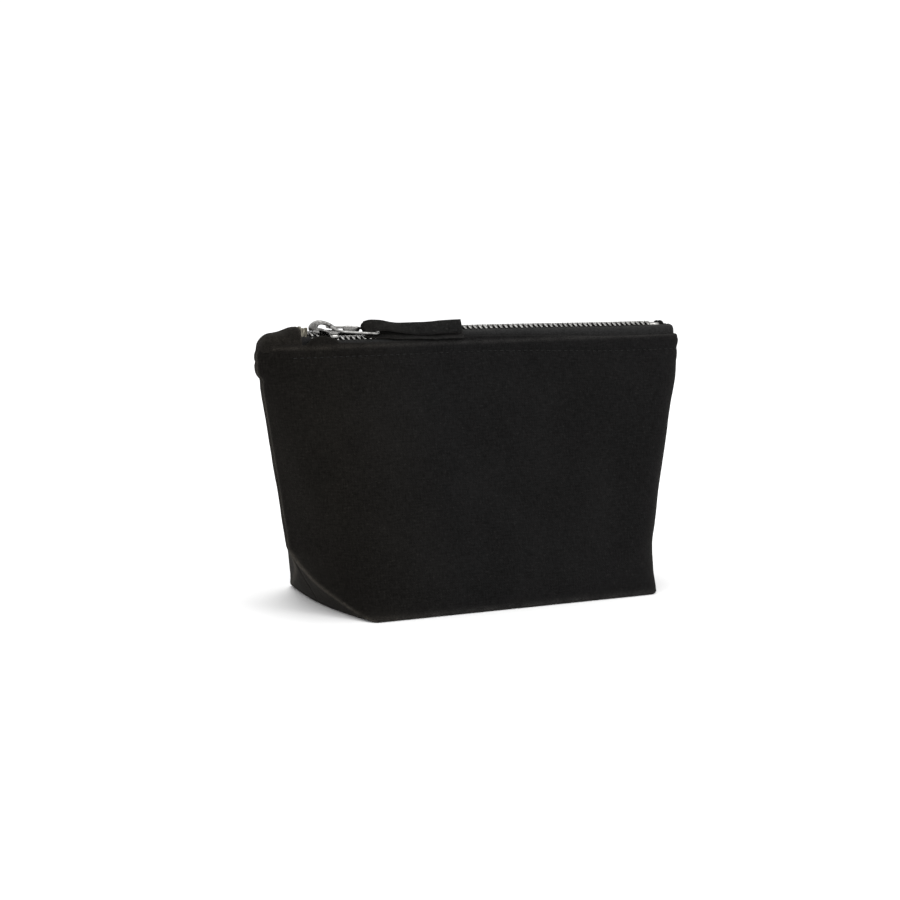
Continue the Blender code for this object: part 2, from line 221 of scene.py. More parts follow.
def rounded_bar(half_width, half_thick, power=3.2, sides=16):
    """A soft rectangle as (a, b) points."""
    points = []
    for s in range(sides):
        angle = 2 * math.pi * (s + 0.5) / sides
        c, n = math.cos(angle), math.sin(angle)
        points.append((math.copysign(abs(c) ** (2 / power), c) * half_width,
                       math.copysign(abs(n) ** (2 / power), n) * half_thick))
    return np.array(points)


def sweep(path, section_at, side_axis=(0, 1, 0), closed=False):
    """Rings of a section carried along a path. section_at(t) gives (a, b) points: across and out."""
    path = np.asarray(path, float)
    count = len(path)
    rings = []
    for i in range(count):
        ahead = path[(i + 1) % count] if closed or i + 1 < count else path[i]
        behind = path[i - 1] if closed or i > 0 else path[i]
        forward = (ahead - behind) / np.linalg.norm(ahead - behind)
        across = np.array(side_axis, float)
        across -= forward * across.dot(forward)
        across /= np.linalg.norm(across)
        out = np.cross(forward, across)
        ring = section_at(i / (count if closed else count - 1))
        rings.append(path[i] + ring[:, :1] * across + ring[:, 1:] * out)
    return rings


def join_pieces(name, parts, material, body):
    """One piece from several (points, faces) parts."""
    points, faces = [], []
    for part_points, part_faces in parts:
        start = len(points)
        points.extend(tuple(p) for p in np.asarray(part_points).reshape(-1, 3))
        faces.extend(tuple(start + i for i in face) for face in part_faces)
    piece = add_piece(name, points, faces, material, body)
    tidy_normals(piece)
    return piece


# ---------------------------------------------------------------- materials
class Nodes:
    """Short calls for building a node tree."""

    def __init__(self, name):
        self.material = bpy.data.materials.new(name)
        self.material.use_nodes = True
        self.tree = self.material.node_tree
        self.shader = self.tree.nodes["Principled BSDF"]

    def link(self, value, socket):
        if isinstance(value, bpy.types.NodeSocket):
            self.tree.links.new(value, socket)
        else:
            socket.default_value = value

    def add(self, kind, output=0, inputs=(), **settings):
        node = self.tree.nodes.new(kind)
        for key, value in settings.items():
            setattr(node, key, value)
        for key, value in dict(inputs).items():
            self.link(value, node.inputs[key])
        return node.outputs[output]

    def math(self, operation, a, b=0.0, clamp=False):
        return self.add("ShaderNodeMath", 0, {0: a, 1: b}, operation=operation, use_clamp=clamp)

    def total(self, *terms):
        """The sum of (value, share) terms."""
        scaled = [value if share == 1 else self.math("MULTIPLY", value, share) for value, share in terms]
        result = scaled[0]
        for term in scaled[1:]:
            result = self.math("ADD", result, term)
        return result

    def split(self, vector):
        node = self.tree.nodes.new("ShaderNodeSeparateXYZ")
        self.link(vector, node.inputs[0])
        return node.outputs

    def stretched(self, vector, scale):
        return self.add("ShaderNodeMapping", 0, {"Vector": vector, "Scale": scale})

    def noise(self, vector, scale, detail=2.0, roughness=0.5):
        return self.add("ShaderNodeTexNoise", "Fac",
                        {"Vector": vector, "Scale": scale, "Detail": detail, "Roughness": roughness})

    def range(self, value, low, high, to_low=0.0, to_high=1.0):
        return self.add("ShaderNodeMapRange", 0,
                        {0: value, 1: low, 2: high, 3: to_low, 4: to_high})

    def blend(self, factor, a, b, mode="MIX"):
        node = self.tree.nodes.new("ShaderNodeMix")
        node.data_type = "RGBA"
        node.blend_type = mode
        self.link(factor, node.inputs["Factor"])
        self.link(a, node.inputs[6])
        self.link(b, node.inputs[7])
        return node.outputs[2]

    def bump(self, height, distance, strength=1.0, normal=None):
        inputs = {"Height": height, "Distance": distance, "Strength": strength}
        if normal is not None:
            inputs["Normal"] = normal
        return self.add("ShaderNodeBump", 0, inputs)

    def finish(self, **sockets):
        for key, value in sockets.items():
            self.link(value, self.shader.inputs[key.replace("_", " ")])
        return self.material


def grey(value):
    return (value, value, value, 1)


# sizes of the cloth's textures, as features to the metre
WARP_SLUB = (1500, 330, 1)             # thick and thin places in the threads, long one way
WEFT_SLUB = (300, 1350, 1)
THREAD_WOBBLE = 160
FIBRE = 2600
LINT = 1150
CLOUDS = 38
CRUMPLE = 55
# painted light: the black is tinted slightly warm and paler towards the left of the bag, standing in for a
# warmer light on that side
WARM_LIGHT_START, WARM_LIGHT_END = -25 * MM, -75 * MM
WARM_LIGHT_TINT = (1.07, 1.0, 0.88, 1)
SHEEN_TINT = (1.0, 0.95, 0.90, 1)


def woven_material(name, dark, light, worn, thread, sheen, lint, level=0.09, rubs_and_warm_lit=False, twill=False):
    """Cotton cloth. thread is the spacing of its threads; a cloth that rubs has a wear attribute and painted
    warm light towards the left of the bag.
    """
    n = Nodes(name)
    cloth = n.add("ShaderNodeUVMap", 0, uv_map="cloth")
    place = n.add("ShaderNodeTexCoord", "Object")
    wobble = (n.noise(cloth, THREAD_WOBBLE, 2), 2.2)
    across, down = (n.total((n.split(cloth)[axis], math.pi / thread), wobble) for axis in (0, 1))
    if twill:
        threads = n.math("ABSOLUTE", n.math("SINE", n.math("ADD", across, down)))
    else:
        crossings = n.math("MULTIPLY", n.math("SINE", across), n.math("SINE", down))
        threads = n.math("ADD", n.math("MULTIPLY", crossings, 0.5), 0.5)
    slub = n.total(*((n.noise(n.stretched(cloth, scale), 1.0, 2), 1) for scale in (WARP_SLUB, WEFT_SLUB)))
    fibre = n.noise(place, FIBRE, 2, 0.6)
    specks = n.range(n.noise(place, LINT, 1), 0.60, 0.80)
    clouds = n.noise(place, CLOUDS, 4, 0.6)
    tone = n.total((slub, 0.42), (fibre, 0.36), (clouds, 0.40))
    colour = n.blend(n.range(tone, 0.60, 0.98), dark, light)
    colour = n.blend(n.math("MULTIPLY", specks, lint), colour, worn)
    if rubs_and_warm_lit:
        rubbed = n.add("ShaderNodeAttribute", "Fac", attribute_name="wear")
        grainy = n.math("MULTIPLY", rubbed, n.range(fibre, 0.30, 0.65), clamp=True)
        colour = n.blend(grainy, colour, worn)
        # painted light: a warm tint towards the left of the bag stands in for warmer light falling on that
        # side
        warm_lit = n.range(n.split(place)[0], WARM_LIGHT_START, WARM_LIGHT_END)
        colour = n.blend(warm_lit, colour, n.blend(1.0, colour, WARM_LIGHT_TINT, "MULTIPLY"))
    height = n.total((threads, 0.6), (slub, 0.55), (fibre, 0.35))
    crumpled = n.bump(n.noise(place, CRUMPLE, 3), 0.35 * MM, 0.5)
    normal = n.bump(height, 0.16 * MM, 0.9, crumpled)
    return n.finish(Base_Color=colour, Roughness=n.range(slub, 0.7, 1.3, 0.98, 0.84), Normal=normal,
                    Sheen_Weight=sheen, Sheen_Roughness=0.42, Sheen_Tint=SHEEN_TINT,
                    Specular_IOR_Level=level)


def metal_material(name, colour, shade, roughness):
    """Plated zip metal: cloudy tarnish, fine pits and scratches along the zip."""
    n = Nodes(name)
    place = n.add("ShaderNodeTexCoord", "Object")
    cloudy = n.noise(place, 420, 3, 0.6)
    fine = n.noise(place, 2400, 2)
    scratch = n.noise(n.stretched(place, (220, 3200, 900)), 1.0, 2)
    pitted = n.range(n.total((cloudy, 1), (fine, 0.4)), 0.55, 0.85)
    tone = n.blend(pitted, shade, colour)
    rough = n.range(n.total((cloudy, 1), (scratch, 1)), 0.7, 1.3, roughness + 0.14, roughness - 0.07)
    normal = n.bump(n.total((scratch, 1), (fine, 1)), 0.03 * MM, 0.35)
    return n.finish(Base_Color=tone, Metallic=1.0, Roughness=rough, Normal=normal)


def thread_material(name, colour, light):
    """Twisted sewing thread."""
    n = Nodes(name)
    place = n.add("ShaderNodeTexCoord", "Object")
    twist = n.noise(n.stretched(place, (2500, 900, 900)), 1.0, 2)
    colour = n.blend(n.range(twist, 0.35, 0.65), colour, light)
    return n.finish(Base_Color=colour, Roughness=n.range(twist, 0.3, 0.7, 0.85, 0.6),
                    Normal=n.bump(twist, 0.05 * MM, 0.6), Specular_IOR_Level=0.09)


canvas = woven_material("black_canvas", (0.0043, 0.0042, 0.0042, 1), (0.0102, 0.0100, 0.0101, 1),
                        (0.052, 0.050, 0.048, 1), thread=0.56 * MM, sheen=0.04, lint=0.12, level=0.01,
                        rubs_and_warm_lit=True)
tab_canvas = woven_material("tab_canvas", grey(0.0018), grey(0.0110), (0.044, 0.042, 0.040, 1),
                            thread=0.62 * MM, sheen=0.04, lint=0.45, level=0.01, rubs_and_warm_lit=True)
binding = woven_material("binding_tape", grey(0.006), grey(0.011), grey(0.03), thread=0.4 * MM, sheen=0.05,
                         lint=0.2)
zip_cloth = woven_material("zip_tape", grey(0.0118), grey(0.0225), grey(0.05), thread=0.36 * MM, sheen=0.06,
                           lint=0.2, twill=True)
nickel = metal_material("antique_nickel", (0.35, 0.346, 0.335, 1), (0.10, 0.097, 0.093, 1), 0.24)
brass = metal_material("tarnished_stop", (0.24, 0.225, 0.185, 1), (0.075, 0.068, 0.052, 1), 0.30)
thread = thread_material("black_thread", grey(0.008), (0.017, 0.0168, 0.0165, 1))
tack_thread = thread_material("tack_thread", grey(0.002), grey(0.006))


# ---------------------------------------------------------------- the bag's outer form
CREASE_BOW = 2.1                       # 1 would make the creases of a boxed corner straight
CORNER_INSET = 4 * MM                  # at the top, the walls' corners lie this far inside the side seams
# heights, half heights and sizes, in mm, of the places where a soft corner leaves its straight line
LEFT_CORNER_BUMPS = ((92, 12, 0.5), (22, 8, -0.4), (99, 3.5, 0.5))
RIGHT_CORNER_BUMPS = ((91, 9, 1.2), (22, 22, -0.7), (21, 6, -0.7), (0, 12, 2.0))
RIGHT_LEAN = ((38, 0), (70, 2.0))      # the filled bag leans over its right side


def corner_x(z):
    """Half width of the flat front at a height."""
    return mix(BASE_HALF, TOP_HALF - CORNER_INSET, z / CANVAS_TOP)


def corner_y(z):
    """Half depth of the bag at a height."""
    return mix(BASE_HALF_DEPTH, HALF_TOP, z / CANVAS_TOP)


def seam_x(z):
    """Half width at the side seam, which folds outward above the boxed corner."""
    low = mix(BASE_HALF, SIDE_FOLD_HALF, np.minimum(z, SIDE_FOLD_HEIGHT) / SIDE_FOLD_HEIGHT)
    t = np.maximum(0, z - SIDE_FOLD_HEIGHT) / (CANVAS_TOP - SIDE_FOLD_HEIGHT)
    return low + (TOP_HALF - SIDE_FOLD_HALF) * t


def crease_y(z):
    """Half depth of the boxed corner's flat triangle at a height. Its creases bow towards the seam."""
    return BASE_HALF_DEPTH * np.clip(1 - z / SIDE_FOLD_HEIGHT, 0, 1) ** CREASE_BOW


def corner_slump(end, z):
    """How far the corner at the left (-1) or right (1) end stands out at a height."""
    if end < 0:
        return bumps(LEFT_CORNER_BUMPS, z)
    return profile(RIGHT_LEAN, z) + bumps(RIGHT_CORNER_BUMPS, z)


def seam_slump(end, z):
    """The left seam stands out beside the hem and tucks in below it, and both round off at the very top."""
    if end > 0:
        edge = profile(((104, -0.5), (107, 0)), z) + profile(((106, 0), (109, -1.2)), z)
        return edge + bumps([(91, 9, 1.2)], z)
    hem = 1.0 * MM * smooth(95.8 * MM, 98 * MM, z) * (1 - smooth(99 * MM, 109 * MM, z))
    return hem + profile(((106, 0), (109, -0.7)), z) + bumps([(95.4, 1.8, -0.5)], z)


SECTION_POINTS = 900
CORNER_SHARE = 0.46                    # the most of each line that most bends may take


def round_corner(before, corner, after, reach, share_before, share_after):
    """A soft bend in place of a corner. The shares are the most of each line that the bend may take."""
    to_a, to_b = before - corner, after - corner
    length_a, length_b = max(np.linalg.norm(to_a), 1e-9), max(np.linalg.norm(to_b), 1e-9)
    cut_a, cut_b = min(reach, share_before * length_a), min(reach, share_after * length_b)
    a = corner + to_a / length_a * cut_a
    b = corner + to_b / length_b * min(cut_b, 1.5 * cut_a + 0.2 * MM)
    t = np.linspace(0, 1, 9)[:, None]
    return a * (1 - t) ** 2 + corner * 2 * t * (1 - t) + b * t * t


def section(z, side):
    """One half's outer line at a height, as (x, y), drawn in front from the left seam to the right one."""
    z = min(max(z, 0), CANVAS_TOP)
    depth = corner_y(z)
    crease = max(float(crease_y(z)), 0.3 * MM)
    soft = float(mix(9 * MM, 12 * MM, smooth(0, 20 * MM, z)))
    sharp = float(mix(2.5 * MM, 1.2 * MM, smooth(15 * MM, 30 * MM, z)))
    left_corner, right_corner = (corner_x(z) + corner_slump(end, z) for end in (-1, 1))
    left_seam, right_seam = (seam_x(z) + seam_slump(end, z) for end in (-1, 1))
    corners = np.array([
        (-left_seam, 0.0), (-left_seam, -crease), (-left_corner, -depth),
        (right_corner, -depth), (right_seam, -crease), (right_seam, 0.0),
    ])
    left_soft, sharp_share, soft_share = soft, CORNER_SHARE, CORNER_SHARE
    if side == "front":                # the corner nearest the camera has slumped into a wide bend
        left_soft += float(13 * MM * smooth(0, 9 * MM, z) * (1 - smooth(24 * MM, 50 * MM, z)))
        sharp_share, soft_share = 0.08, 0.9
    bends = (
        (sharp, CORNER_SHARE, sharp_share), (left_soft, soft_share, CORNER_SHARE),
        (soft, CORNER_SHARE, CORNER_SHARE), (sharp, CORNER_SHARE, CORNER_SHARE),
    )
    parts = [corners[:1]]
    for i, bend in enumerate(bends):
        parts.append(round_corner(*corners[i:i + 3], *bend))
    parts.append(corners[-1:])
    line = resample(np.concatenate(parts), SECTION_POINTS)
    swell = BELLY * math.sin(math.pi * z / CANVAS_TOP)
    line[:, 1] -= swell * np.clip(1 - (line[:, 0] / corner_x(z)) ** 2, 0, 1)
    sag = END_SAG * max(0.0, 1 - z / SIDE_FOLD_HEIGHT) * np.cos(0.5 * math.pi * line[:, 1] / BASE_HALF_DEPTH)
    at_end = smooth(0.8, 1.0, np.abs(line[:, 0]) / BASE_HALF)
    line[:, 0] += np.sign(line[:, 0]) * sag * at_end
    return line


# how far the folded top edges and the zip stand above their level lines: place along the bag, rise in mm
FOLD_RISE = {
    "front": ((-101, 0), (-91, 1.6), (-83, 1.0), (-78, 4.3), (-75, 4.7), (-71, 3.9), (-66, 1.5), (-48, 1.3),
              (-12, 2.4), (-4, 2.5), (78, 0)),
    "back": ((-101, 0), (-91, 1.6), (-81, 2.6), (-75, 5.4), (-70, 5.2), (-64, 4.5), (-48, 4.3), (-12, 2.5),
             (78, 0)),
}
CHAIN_RISE = ((-84, 1.2), (-78, 1.2), (-72, 0.3), (-66, -1.0), (-50, -1.0), (-30, 0.5), (-8, 1.8), (84, 0.9))
HEM_RISE = ((-101, 0), (-88, 2.5), (-4, 2.5), (78, 0))


def fold_rise(side, x, z):
    """The top edge is not level: the hem bows up along the zip, and its fold stands up beside the slider."""
    at_fold = smooth(103.5 * MM, 108 * MM, z)
    rise = mix(profile(HEM_RISE, x), profile(FOLD_RISE[side], x), at_fold)
    return rise * smooth(82 * MM, 108 * MM, z)


def chain_rise(x):
    """The zip bows up between its two ends and dips behind the slider."""
    return profile(CHAIN_RISE, x)


# the grid of each canvas sheet
COLUMNS = 241
HEM_ROWS = 10                          # inside the mouth
ROLL_ROWS = 9                          # over the folded edge
BAND_ROWS = 19                         # close together, past the fold and the stitches
BAND_FOOT = 96 * MM
WALL_ROWS = 75                         # from there to the base
ROUND_ROWS = 4
BASE_ROWS = 25
ROLL_END = HEM_ROWS + ROLL_ROWS - 1    # the row where the rolled edge ends and the wall begins
BOTTOM_ROUND = 1.6 * MM                # radius between the walls and the base


def inward_offset(line, distance):
    """Move a line of (x, y) points towards the inside of the bag."""
    step = np.gradient(line, axis=0)
    step /= np.linalg.norm(step, axis=1)[:, None]
    return line + np.stack([-step[:, 1], step[:, 0]], axis=1) * distance


def drawn_in(line, distance):
    """Shrink a line of (x, y) points towards the middle of the bag."""
    return line * (1 - distance / np.abs(line).max(axis=0))


def canvas_rows():
    """Rows of the sheet from the hem's edge to the bottom seam: height, inward offset, share of the base."""
    radius = HEM_OFFSET / 2
    centre = CANVAS_TOP - radius
    rows = [(z, HEM_OFFSET, 0) for z in np.linspace(HEM_BOTTOM, centre, HEM_ROWS + 1)[:-1]]
    for angle in np.linspace(0, math.pi, ROLL_ROWS):
        rows.append((centre + radius * math.sin(angle), radius + radius * math.cos(angle), 0))
    rows += [(z, 0, 0) for z in np.linspace(centre, BAND_FOOT, BAND_ROWS + 1)[1:]]
    rows += [(z, 0, 0) for z in np.linspace(BAND_FOOT, BOTTOM_ROUND, WALL_ROWS + 1)[1:]]
    for angle in np.linspace(0, math.pi / 2, ROUND_ROWS + 1)[1:]:
        rows.append((BOTTOM_ROUND * (1 - math.sin(angle)), BOTTOM_ROUND * (1 - math.cos(angle)), 0))
    rows += [(0, BOTTOM_ROUND, share) for share in np.linspace(0, 1, BASE_ROWS + 1)[1:]]
    return rows


def canvas_grid(side):
    """Outer face of a sheet, in the front half: points (rows, columns, 3) and cloth coordinates in metres."""
    points, cloth = [], []
    travelled = 0.0
    before = None
    for z, inward, share in canvas_rows():
        line = section(z, side)
        if inward:
            line = drawn_in(line, inward) if z < CLOTH * 2 else inward_offset(line, inward)
        line = resample(line, COLUMNS)
        line[:, 1] = np.minimum(line[:, 1], -SEAM_GAP)
        length = np.sum(np.linalg.norm(np.diff(line, axis=0), axis=1))
        if share:
            line = base_row(line, share)
        row = at_z(line, z)
        if before is not None:
            travelled += np.linalg.norm(row[COLUMNS // 2] - before)
        before = row[COLUMNS // 2]
        points.append(row)
        cloth.append(np.column_stack([np.linspace(-length / 2, length / 2, COLUMNS),
                                      np.full(COLUMNS, travelled)]))
    points = np.array(points)
    points[..., 2] += fold_rise(side, points[..., 0], points[..., 2])
    return points, np.array(cloth)


# how far the base's cloth is drawn in towards the bottom seam, at the side seams and at the corners
SEAM_INSET, CORNER_FOLD = 5 * MM, 22 * MM


def base_row(line, share):
    """Draw the base's outline in to the bottom seam, which runs along the middle line."""
    half = line[:, 0].max()
    depth = -line[:, 1].min()
    on_side = np.clip(-line[:, 1] / depth, 0, 1)
    side_target = np.sign(line[:, 0]) * mix(half - SEAM_INSET, half - CORNER_FOLD, on_side)
    front_target = line[:, 0] * (half - CORNER_FOLD) / half
    target = mix(side_target, front_target, smooth(0.97, 1.0, on_side))
    return np.column_stack([mix(line[:, 0], target, share), mix(line[:, 1], -SEAM_GAP, share)])


def grid_normals(points):
    """The outward normal at each point of a grid."""
    across = np.gradient(points, axis=1)
    down = np.gradient(points, axis=0)
    normals = np.cross(down, across)
    return normals / np.maximum(np.linalg.norm(normals, axis=2), 1e-12)[..., None]


# shallow standing folds, in mm: place along the bag, height, half width, half height, depth
FOLDS = ((1, 99, 2.2, 6, 0.25), (4, 12, 1.8, 11, 0.35), (-58, 40, 9, 26, 0.5), (56, 52, 7, 30, 0.6))
FOLD_LEAN = 0.08                       # how far a fold goes to the right as it rises


def to_seam(cloth):
    """Distance of each point from the nearer side seam, along the cloth."""
    return np.abs(cloth[..., 0]).max(axis=1)[:, None] - np.abs(cloth[..., 0])


def surface_relief(points, cloth, seed):
    """How far each point of the outer face stands out, from noise shaped by where the point is."""
    x, z = points[..., 0], points[..., 2]
    u, v = cloth[..., 0], cloth[..., 1]
    edge = to_seam(cloth)
    drop = v - v[ROLL_END, 0]
    stitched = STITCH_DROP - 1 * MM

    def ripple(size_mm, step, stretch=1.0):
        return noise_at(points * np.array((1, 1, stretch)), size_mm * MM, seed + step) * MM

    on_wall = smooth(0, 6 * MM, drop) * smooth(0.5 * MM, 8 * MM, z)
    free = smooth(2 * MM, 14 * MM, edge)
    # slack cloth, and drags below the zip
    relief = (0.55 * ripple(42, 0) + 0.16 * ripple(15, 3)) * on_wall * free
    relief += 0.06 * ripple(5, 5) * on_wall
    relief += 0.22 * ripple(9, 9, 0.22) * bump(drop, 18 * MM, 12 * MM) * free
    # the hem's thickness, puckered by its stitches, and the rolled edge
    relief += 0.30 * MM * smooth(11.5 * MM, 9.5 * MM, drop) * smooth(0, 2 * MM, drop)
    pucker = 0.5 + 0.5 * np.cos(2 * math.pi * u / STITCH_PITCH + 1.5 * ripple(20, 2) / MM)
    relief -= (0.22 + 0.22 * pucker) * MM * bump(drop, stitched, 0.9 * MM)
    relief += 0.16 * ripple(4.5, 6, 0.35) * bump(drop, stitched, 4 * MM)
    relief += 0.10 * ripple(11, 7) * smooth(3 * MM, 0, np.abs(drop))
    # the groove along the side seams, shallow on the boxed corners
    groove = mix(0.12 * MM, 0.9 * MM, smooth(SIDE_FOLD_HEIGHT - 3 * MM, SIDE_FOLD_HEIGHT + 8 * MM, z))
    relief -= groove * smooth(2.5 * MM, 0, edge)
    relief += 0.25 * ripple(7, 8) * bump(edge, 4 * MM, 4 * MM) * on_wall
    for place, height, wide, tall, deep in np.array(FOLDS) * MM:
        lean = x - place - FOLD_LEAN * (z - height)
        relief -= deep * bump(lean, 0, wide) * bump(z, height, tall) * on_wall
    return relief


def wear_map(points, cloth):
    """Where the black has rubbed paler: creases, base edges, the rolled top edge and the seams."""
    x, y, z = np.moveaxis(points, -1, 0)
    on_crease = bump(np.abs(y), crease_y(z), 2.2 * MM) * smooth(27 * MM, 22 * MM, z)
    on_crease = on_crease * smooth(BASE_HALF - 3 * MM, BASE_HALF, np.abs(x))
    on_base = bump(z, 0.6 * MM, 1.6 * MM) * smooth(0.3, 0.9, np.abs(y) / BASE_HALF_DEPTH)
    on_fold = bump(z, CANVAS_TOP, 0.8 * MM)
    on_seam = smooth(2.2 * MM, 0.3 * MM, to_seam(cloth))
    on_seam = on_seam * smooth(SIDE_FOLD_HEIGHT - 3 * MM, SIDE_FOLD_HEIGHT, z)
    wear = np.maximum.reduce([1.8 * on_crease, 0.55 * on_base, 0.5 * on_fold, 0.7 * on_seam])
    return np.clip(wear * (0.75 + 0.5 * noise_at(points, 6 * MM, 4)), 0, 1)


# ---------------------------------------------------------------- following the mouth as it opens
MOUTH_LEFT, MOUTH_RIGHT = -92 * MM, 70 * MM   # the opening's ends along the zip
MOUTH_EASE = 1.5                              # above 1, the opening eases in from its ends


def opening_weight(x, z):
    """How much a point of a wall turns with the mouth: not at all at the seams and the base."""
    level = x * TOP_HALF / seam_x(np.clip(z, 0, CANVAS_TOP))
    share = np.clip((level - MOUTH_LEFT) / (MOUTH_RIGHT - MOUTH_LEFT), 0, 1)
    return np.sin(math.pi * share) ** MOUTH_EASE * smooth(2 * MM, 20 * MM, z)


def follow_wall(piece, side, weights):
    """Blend a piece from the fixed bag to one wall, with its own weight at each vertex."""
    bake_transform(piece, "root", f"{side}_wall", (0, 0, 0), (0, 0, CANVAS_TOP))
    attribute = piece.data.attributes["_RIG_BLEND"]
    attribute.data.foreach_set("value", np.asarray(weights, np.float32).ravel())


def mirror_back(points, side):
    """Pieces are drawn in the front half, and those of the back are mirrored."""
    return points if side == "front" else points * np.array((1, -1, 1))


# ---------------------------------------------------------------- canvas
def sheet_faces(rows, columns):
    """Faces of a thick sheet: its outer grid, its inner grid and the rim that joins them."""
    count = rows * columns
    faces = []
    for r in range(rows - 1):
        for c in range(columns - 1):
            a = r * columns + c
            b, d = a + columns, a + 1
            faces.append((a, b, b + 1, d))
            faces.append((a + count, d + count, b + 1 + count, b + count))
    rim = list(range(columns))
    rim += [r * columns + columns - 1 for r in range(1, rows)]
    rim += [(rows - 1) * columns + c for c in range(columns - 2, -1, -1)]
    rim += [r * columns for r in range(rows - 2, 0, -1)]
    for i, a in enumerate(rim):
        b = rim[(i + 1) % len(rim)]
        faces.append((a, b, b + count, a + count))
    return faces


def set_uv(piece, cloth):
    """Cloth coordinates, in metres along and across the threads, as the piece's UV map."""
    layer = piece.data.uv_layers.new(name="cloth")
    index = np.empty(len(piece.data.loops), int)
    piece.data.loops.foreach_get("vertex_index", index)
    layer.data.foreach_set("uv", np.asarray(cloth, np.float32).reshape(-1, 2)[index].ravel())


def set_wear(piece, values):
    """How rubbed each vertex is, for the cloth's material."""
    attribute = piece.data.attributes.new("wear", "FLOAT", "POINT")
    attribute.data.foreach_set("value", np.asarray(values, np.float32).ravel())


def thick_sheet(name, outer, cloth, thickness, material, side="front", keep_clear=0.0, flat_from=None):
    """A sheet with thickness behind its outer face. Rows from flat_from on lie flat on the ground."""
    normals = grid_normals(outer)
    if flat_from is not None:
        normals[flat_from:] = (0, 0, -1)
    inner = outer - normals * thickness
    if keep_clear:
        inner[..., 1] = np.minimum(inner[..., 1], -keep_clear)
    points = mirror_back(np.concatenate([outer.reshape(-1, 3), inner.reshape(-1, 3)]), side)
    faces = sheet_faces(*outer.shape[:2])
    if side == "back":
        faces = [face[::-1] for face in faces]
    piece = add_piece(name, points, faces, material)
    set_uv(piece, np.concatenate([cloth.reshape(-1, 2)] * 2))
    return piece


def build_canvas(side, seed):
    """One sheet of the bag: hem, wall, its halves of the side walls and its half of the base."""
    points, cloth = canvas_grid(side)
    relief = surface_relief(points, cloth, seed)
    normals = grid_normals(points)
    base_start = len(points) - BASE_ROWS - 1
    normals[base_start:] = (0, 0, -1)
    normals[..., 1] *= smooth(0, 1.5 * MM, to_seam(cloth))
    outer = points + normals * relief[..., None]
    outer[..., 1] = np.minimum(outer[..., 1], -SEAM_GAP)
    piece = thick_sheet(f"{side}_canvas", outer, cloth, CLOTH, canvas, side, SEAM_GAP, base_start)
    wear = wear_map(points, cloth).ravel()
    set_wear(piece, np.concatenate([wear, wear * 0]))
    weights = opening_weight(points[..., 0], points[..., 2]).ravel()
    follow_wall(piece, side, np.concatenate([weights, weights]))
    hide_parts(f"{side}_panel", f"{side}_hem", f"left_side_{side}", f"right_side_{side}",
                f"base_{side}")
    build_topstitch(side, outer, cloth)


def stitch_part(centre, along, out, sides=6):
    """A short rounded thread that sinks into the cloth at both ends."""
    across = np.cross(along, out)
    rings = []
    for t, share in ((-1, 0.25), (-0.85, 0.75), (-0.4, 1), (0.4, 1), (0.85, 0.75), (1, 0.25)):
        middle = centre + along * t * STITCH_LENGTH / 2 - out * 1.05 * THREAD_RADIUS * t ** 4
        angles = 2 * math.pi * np.arange(sides)[:, None] / sides
        rings.append(middle + (across * np.cos(angles) + out * np.sin(angles)) * share * THREAD_RADIUS)
    return loft(rings)


STITCH_ENDS = (20, 10)                 # columns left bare at the left and right ends of the row
STITCH_LENGTH = 0.66 * STITCH_PITCH
THREAD_RADIUS = 0.19 * MM


def build_topstitch(side, outer, cloth):
    """The row of stitches that holds the zip tape and hem."""
    drop = cloth[:, 0, 1] - cloth[ROLL_END, 0, 1]
    row = int(np.argmin(np.abs(drop - (STITCH_DROP - 1 * MM))))
    u = cloth[row, :, 0]
    normals = grid_normals(outer)[row]

    def at(place, values):
        return np.array([np.interp(place, u, values[:, k]) for k in range(3)])

    parts, weights = [], []
    for place in np.arange(u[STITCH_ENDS[0]], u[-STITCH_ENDS[1]], STITCH_PITCH):
        centre = at(place, outer[row])
        along = at(place + MM, outer[row]) - centre
        along /= np.linalg.norm(along)
        out = at(place, normals)
        points, faces = stitch_part(centre + out * 0.05 * MM, along, out)
        parts.append((mirror_back(points, side), faces))
        weights += [float(opening_weight(centre[0], centre[2]))] * len(points)
    piece = join_pieces(f"{side}_topstitch", parts, thread, None)
    follow_wall(piece, side, weights)


# ---------------------------------------------------------------- zip
TOOTH_PITCH = 2.5 * MM
TOOTH_COUNT = 67                       # in one row
TOOTH_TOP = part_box("front_teeth")[1][2]
CHAIN_SLOPE = 0.13                     # each row falls away from the middle line
FIRST_TOOTH_X = -78.6 * MM
SLIDER_X = (body_low[0] + body_high[0]) / 2
ROW_SPREAD = 2.0 * MM                  # how far each row moves aside at the slider's post


def spread(x):
    """How far a row of teeth moves aside at the slider's open end."""
    return ROW_SPREAD * (1 - smooth(SLIDER_X - 1 * MM, SLIDER_X + 4.5 * MM, x))


# one tooth of the front row in its own (y, z) plane: head towards the middle line, jaws round the tape
TOOTH_PROFILE = (
    (0.80, -0.55), (0.70, -0.16), (0.38, 0.0), (-0.45, 0.02), (-1.2, -0.10), (-2.3, -0.42), (-3.0, -0.72),
    (-3.2, -0.98), (-3.0, -1.22), (-1.3, -1.08), (-1.1, -1.28), (-1.3, -1.52), (-2.9, -1.80), (-3.05, -2.05),
    (-2.8, -2.28), (-1.0, -2.20), (-0.85, -1.95), (0.5, -1.90), (0.80, -1.45),
)


def tooth_part():
    """Points and faces of one tooth, with softened sides, centred on x = 0."""
    edge = np.array(TOOTH_PROFILE) * MM
    middle = edge.mean(axis=0)
    rings = []
    for x, shrink in ((-0.56, 0.86), (-0.48, 0.97), (-0.30, 1.0), (0.30, 1.0), (0.48, 0.97), (0.56, 0.86)):
        outline = middle + (edge - middle) * shrink
        head = smooth(-1.3 * MM, 0.3 * MM, outline[:, 0])
        width = x * MM * mix(1.0, 0.84, head)
        rings.append(np.column_stack([width, outline]))
    return loft(rings)


